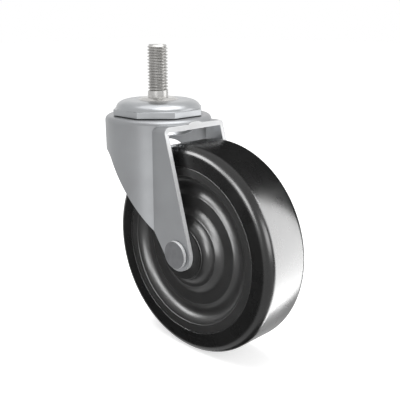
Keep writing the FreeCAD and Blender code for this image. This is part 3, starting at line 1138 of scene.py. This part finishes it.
# %% World
ROOM_LEVEL = 0.5
world = bpy.data.worlds.new("studio")
bpy.context.scene.world = world
world.use_nodes = True
tree = world.node_tree
tree.nodes.clear()
level = add_node(tree, "ShaderNodeMapRange", inputs={
    "Value": seen_directly(tree), "To Min": ROOM_LEVEL, "To Max": 1.0,
})
background = add_node(tree, "ShaderNodeBackground", inputs={
    "Color": WHITE, "Strength": level.outputs[0],
})
add_node(tree, "ShaderNodeOutputWorld", inputs={"Surface": background.outputs[0]})

# %% [markdown]
# Two soft boxes light everything, one above and one on the right behind, and are left
# out of reflections. A glossy object also needs something to reflect, so a studio hangs
# strips and cards round it. The strips here are lamps that only reflections find. Light
# linking keeps each to some pieces, as a photographer keeps a strip off a surface with a
# flag, and lets two of them shine through the pieces that stand in the way. The floor
# hides none of them, because reflections pass through it.

# %% Hang things round the caster
wheel_pieces = (tread, centre)
metal_pieces = (stem, cup, race_cup, fork, rivet)
lit_middle = Vector((0.04, 0, -0.06))


def hung_at(azimuth, elevation, distance):
    """The place at two angles in degrees and a distance from the caster's middle."""
    turn, rise = math.radians(azimuth), math.radians(elevation)
    level_part = math.cos(rise)
    return lit_middle + distance * Vector((
        math.cos(turn) * level_part, math.sin(turn) * level_part, math.sin(rise),
    ))


def face_caster(thing, place, front, aim=lit_middle):
    """Puts a thing at a place, with its front to the caster, where no camera sees it."""
    thing.location = place
    thing.rotation_mode = "QUATERNION"
    thing.rotation_quaternion = (aim - place).to_track_quat(front, "Y")
    thing.visible_camera = False


def set_of(name, pieces):
    """A collection of pieces, for light linking."""
    group = bpy.data.collections.new(name)
    for piece in pieces:
        group.objects.link(piece)
    return group


def soft_box(name, place, wide, high, times_white):
    """An area lamp whose face is a number of times as bright as white."""
    lamp = bpy.data.lights.new(name, "AREA")
    lamp.shape = "RECTANGLE"
    lamp.size = wide
    lamp.size_y = high
    lamp.energy = times_white * math.pi * wide * high
    box = bpy.data.objects.new(name, lamp)
    bpy.context.scene.collection.objects.link(box)
    face_caster(box, place, "-Z")
    return box


# %% Plain light
right_box = soft_box(
    "right_box", place=Vector((0.55, 0.45, 0.1)), wide=0.5, high=0.5, times_white=2.5
)
top_box = soft_box(
    "top_box", place=Vector((0.0, -0.05, 0.6)), wide=0.6, high=0.6, times_white=4.4
)
right_box.visible_glossy = False
top_box.visible_glossy = False
print("2 soft boxes hung")

# %% [markdown]
# A strip is given by its azimuth and elevation in degrees, its distance, width and
# height in metres, how many times as bright as white it is, the pieces that show it,
# and the pieces that can hide it, where that isn't everything. On the wheel, the first
# four draw the bright line on the shoulder, the glints in the groove and the sheen of
# the hub. On the metal, the sky and dome strips light what faces up, the edge strip the
# rear edges of the legs, through the wheel, and the skirt strip the front of the fork.
# The last lights the lower cup, through the fork and the wheel.

# %% Strips for the reflections
strips = [
    ("shoulder_strip", -15, 14, 0.6, 0.36, 0.25, 10, (tread,), None),
    ("groove_strip", -92, 18, 0.5, 0.22, 0.22, 15, wheel_pieces, None),
    ("low_groove_strip", -126, 20, 0.5, 0.22, 0.2, 17, wheel_pieces, None),
    ("hub_strip", -59, 8, 0.5, 0.28, 0.28, 12, (centre,), None),
    ("sky_strip", -90, 86, 0.6, 0.6, 0.6, 1.15, metal_pieces, None),
    ("dome_strip", 8, 64, 0.5, 0.55, 0.38, 2.1, metal_pieces, None),
    ("edge_strip", 45, 4, 0.5, 0.4, 0.5, 1.6, metal_pieces, metal_pieces),
    ("skirt_strip", -70, -11, 0.5, 0.25, 0.3, 0.8, metal_pieces, None),
    ("race_cup_strip", -41, -40, 0.5, 0.5, 0.6, 60, (race_cup,), (race_cup,)),
]


def for_reflections(strip, shown_to, hidden_by=None):
    """Keeps a lamp to the reflections in some pieces, and lets only some hide it."""
    strip.visible_diffuse = False
    strip.light_linking.receiver_collection = set_of(strip.name + "_shown_to", shown_to)
    if hidden_by:
        strip.light_linking.blocker_collection = set_of(strip.name + "_hidden_by", hidden_by)


for name, azimuth, elevation, distance, wide, high, times_white, shown_to, hidden_by in strips:
    strip = soft_box(name, hung_at(azimuth, elevation, distance), wide, high, times_white)
    for_reflections(strip, shown_to, hidden_by)

# %% [markdown]
# The tread's long white band comes from a strip that hangs right beside the tyre, just
# past its far shoulder. From there the tread mirrors it and the flat sides, which lie
# almost in line with it, stay black.

# %% A close strip for the tread
beside_tread = Vector((0.106, 0.019, -0.076))
tread_strip = soft_box("tread_strip", beside_tread, wide=0.04, high=0.148, times_white=11.5)
face_caster(tread_strip, beside_tread, "-Z", beside_tread - ALONG_AXLE)
for_reflections(tread_strip, (tread,))
print(len(strips) + 1, "strips hung")

# %% [markdown]
# The cards are sheets that only reflections find. They shine about as white as the room
# for the metal, and by light linking they are black for the wheel: rubber and plastic
# reflect little, and a white room all round would still turn them grey. A card is given
# by its azimuth and elevation in degrees, its distance, width and height in metres, and
# its brightness, where white is 1.

# %% Cards
def glowing_card(name, place, wide, high, level):
    """A plane that shines in the reflections of the metal and nowhere else."""
    bpy.ops.object.select_all(action="DESELECT")
    bpy.ops.mesh.primitive_plane_add(size=1)
    card = bpy.context.object
    card.name = name
    card.scale = (wide, high, 1)
    face_caster(card, place, "Z")
    material, tree = bare_material(name)
    glow = add_node(tree, "ShaderNodeEmission", inputs={"Color": WHITE, "Strength": level})
    add_node(tree, "ShaderNodeOutputMaterial", inputs={"Surface": glow.outputs[0]})
    card.data.materials.append(material)
    card.visible_diffuse = False
    card.visible_shadow = False
    card.visible_transmission = False
    card.light_linking.receiver_collection = set_of(name + "_shown_to", metal_pieces)
    card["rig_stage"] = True


cards = [
    ("sky_card", 118, 30, 0.5, 0.92, 0.6, 1.1),
    ("side_card", -134, -22, 0.5, 0.55, 0.5, 0.9),
    ("ground_card", 60, -78, 0.5, 0.5, 0.4, 1.0),
    ("rear_card", 45, 4, 0.65, 0.9, 0.7, 0.55),
]
for name, azimuth, elevation, distance, wide, high, level in cards:
    glowing_card(name, hung_at(azimuth, elevation, distance), wide, high, level)
print(len(cards), "cards hung")

# %% [markdown]
# The camera stands on the wheel's side and a little above the caster. Its place and lens
# were fitted to the outlines of the stem, the cup, the head and the wheel in the photo,
# all at once, so that near and far parts have their right sizes.

# %% Camera
LENS_MM = 58.15
camera_place = Vector((0.2381, -0.2104, 0.0359))
look_at = Vector((0.0225, 0.0063, -0.0491))
SENSOR_MM = 36.0
NEAREST = 0.01
camera_data = bpy.data.cameras.new("camera")
camera_data.lens = LENS_MM
camera_data.sensor_width = SENSOR_MM
camera_data.clip_start = NEAREST
camera = bpy.data.objects.new("camera", camera_data)
bpy.context.scene.collection.objects.link(camera)
camera.location = camera_place
camera.rotation_mode = "QUATERNION"
camera.rotation_quaternion = (look_at - camera_place).to_track_quat("-Z", "Y")
bpy.context.scene.camera = camera
bpy.context.scene.view_settings.view_transform = "Standard"
print("camera from its aim in mm:", round((camera_place - look_at).length / MM))

# %% [markdown]
# How far the dressed model grows past the box of the imported one is measured. The
# dressed model must stay in the box of the imported one.

# %% Compare the boxes
low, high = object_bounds()
grown = [round(max(a, b) / MM, 3) for a, b in zip(cad_low - low, high - cad_high)]
print("grown past the box in mm:", grown)
